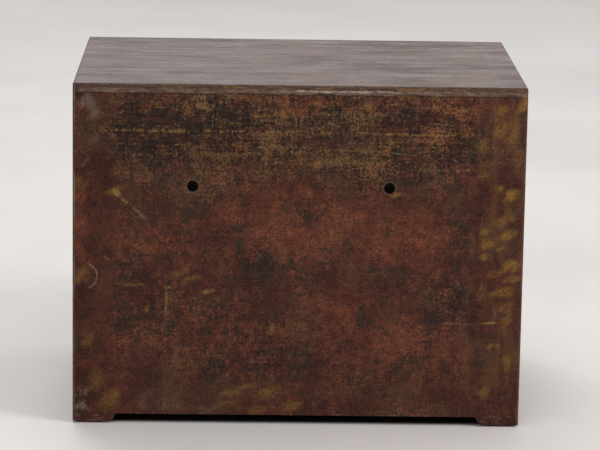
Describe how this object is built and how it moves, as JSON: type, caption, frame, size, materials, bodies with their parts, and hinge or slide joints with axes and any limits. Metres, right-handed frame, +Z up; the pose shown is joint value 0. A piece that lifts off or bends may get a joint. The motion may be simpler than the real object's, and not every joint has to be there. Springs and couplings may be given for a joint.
{
  "type": "steel filing cabinet",
  "caption": "Low steel filing cabinet with sliding drawers, cup pulls, sliding dividers, a plain back with cable holes, and padded corner feet.",
  "frame": {"origin": "centre of the whole object's footprint on the floor, drawer pulls included", "axes": "+Z up, -Y the way the drawers open, +Y out of the plain back panel, +X to the right as seen from the drawer side"},
  "size_m": [0.61, 0.454, 0.47],
  "materials": {
    "casing_steel": "satin",
    "top_steel": "satin",
    "front_steel": "satin",
    "inner_steel": "matte",
    "tray_steel": "satin",
    "runner_steel": "satin",
    "pull_steel": "satin",
    "screw_steel": "satin",
    "buffer_rubber": "matte",
    "pad_rubber": "matte"
  },
  "bodies": {
    "cabinet": {"left_side_panel": "casing_steel", "right_side_panel": "casing_steel", "top_panel": "top_steel", "back_panel": "casing_steel", "back_stiffener": "inner_steel", "back_seam_straps": "inner_steel", "base_pan": "inner_steel", "plinth_rail": "casing_steel", "centre_stile": "casing_steel", "top_rail": "casing_steel", "centre_partition": "inner_steel", "left_bay_runners": "runner_steel", "right_bay_runners": "runner_steel", "drawer_buffers": "buffer_rubber", "foot_plates": "inner_steel", "foot_pads": "pad_rubber"},
    "drawer_1": {"drawer_1_tray": "tray_steel", "drawer_1_front": "front_steel", "drawer_1_pull": "pull_steel", "drawer_1_label_holder": "pull_steel", "drawer_1_track": "runner_steel", "drawer_1_screws": "screw_steel"},
    "drawer_1_divider": {"drawer_1_follower": "tray_steel"},
    "drawer_2": {"drawer_2_tray": "tray_steel", "drawer_2_front": "front_steel", "drawer_2_pull": "pull_steel", "drawer_2_label_holder": "pull_steel", "drawer_2_track": "runner_steel", "drawer_2_screws": "screw_steel"},
    "drawer_2_divider": {"drawer_2_follower": "tray_steel"},
    "drawer_3": {"drawer_3_tray": "tray_steel", "drawer_3_front": "front_steel", "drawer_3_pull": "pull_steel", "drawer_3_label_holder": "pull_steel", "drawer_3_track": "runner_steel", "drawer_3_screws": "screw_steel"},
    "drawer_3_divider": {"drawer_3_follower": "tray_steel"},
    "drawer_4": {"drawer_4_tray": "tray_steel", "drawer_4_front": "front_steel", "drawer_4_pull": "pull_steel", "drawer_4_label_holder": "pull_steel", "drawer_4_track": "runner_steel", "drawer_4_screws": "screw_steel"},
    "drawer_4_divider": {"drawer_4_follower": "tray_steel"},
    "drawer_5": {"drawer_5_tray": "tray_steel", "drawer_5_front": "front_steel", "drawer_5_pull": "pull_steel", "drawer_5_label_holder": "pull_steel", "drawer_5_track": "runner_steel", "drawer_5_screws": "screw_steel"},
    "drawer_5_divider": {"drawer_5_follower": "tray_steel"},
    "drawer_6": {"drawer_6_tray": "tray_steel", "drawer_6_front": "front_steel", "drawer_6_pull": "pull_steel", "drawer_6_label_holder": "pull_steel", "drawer_6_track": "runner_steel", "drawer_6_screws": "screw_steel"},
    "drawer_6_divider": {"drawer_6_follower": "tray_steel"}
  },
  "joints": [
    {"name": "drawer_1_slide", "type": "slide", "parent": "cabinet", "child": "drawer_1", "axis": [0, -1, 0], "range_m": [0, 0.33]},
    {"name": "drawer_1_divider_slide", "type": "slide", "parent": "drawer_1", "child": "drawer_1_divider", "axis": [0, 1, 0], "range_m": [-0.28, 0.005]},
    {"name": "drawer_2_slide", "type": "slide", "parent": "cabinet", "child": "drawer_2", "axis": [0, -1, 0], "range_m": [0, 0.33]},
    {"name": "drawer_2_divider_slide", "type": "slide", "parent": "drawer_2", "child": "drawer_2_divider", "axis": [0, 1, 0], "range_m": [-0.28, 0.005]},
    {"name": "drawer_3_slide", "type": "slide", "parent": "cabinet", "child": "drawer_3", "axis": [0, -1, 0], "range_m": [0, 0.33]},
    {"name": "drawer_3_divider_slide", "type": "slide", "parent": "drawer_3", "child": "drawer_3_divider", "axis": [0, 1, 0], "range_m": [-0.28, 0.005]},
    {"name": "drawer_4_slide", "type": "slide", "parent": "cabinet", "child": "drawer_4", "axis": [0, -1, 0], "range_m": [0, 0.33]},
    {"name": "drawer_4_divider_slide", "type": "slide", "parent": "drawer_4", "child": "drawer_4_divider", "axis": [0, 1, 0], "range_m": [-0.28, 0.005]},
    {"name": "drawer_5_slide", "type": "slide", "parent": "cabinet", "child": "drawer_5", "axis": [0, -1, 0], "range_m": [0, 0.33]},
    {"name": "drawer_5_divider_slide", "type": "slide", "parent": "drawer_5", "child": "drawer_5_divider", "axis": [0, 1, 0], "range_m": [-0.28, 0.005]},
    {"name": "drawer_6_slide", "type": "slide", "parent": "cabinet", "child": "drawer_6", "axis": [0, -1, 0], "range_m": [0, 0.33]},
    {"name": "drawer_6_divider_slide", "type": "slide", "parent": "drawer_6", "child": "drawer_6_divider", "axis": [0, 1, 0], "range_m": [-0.28, 0.005]}
  ]
}
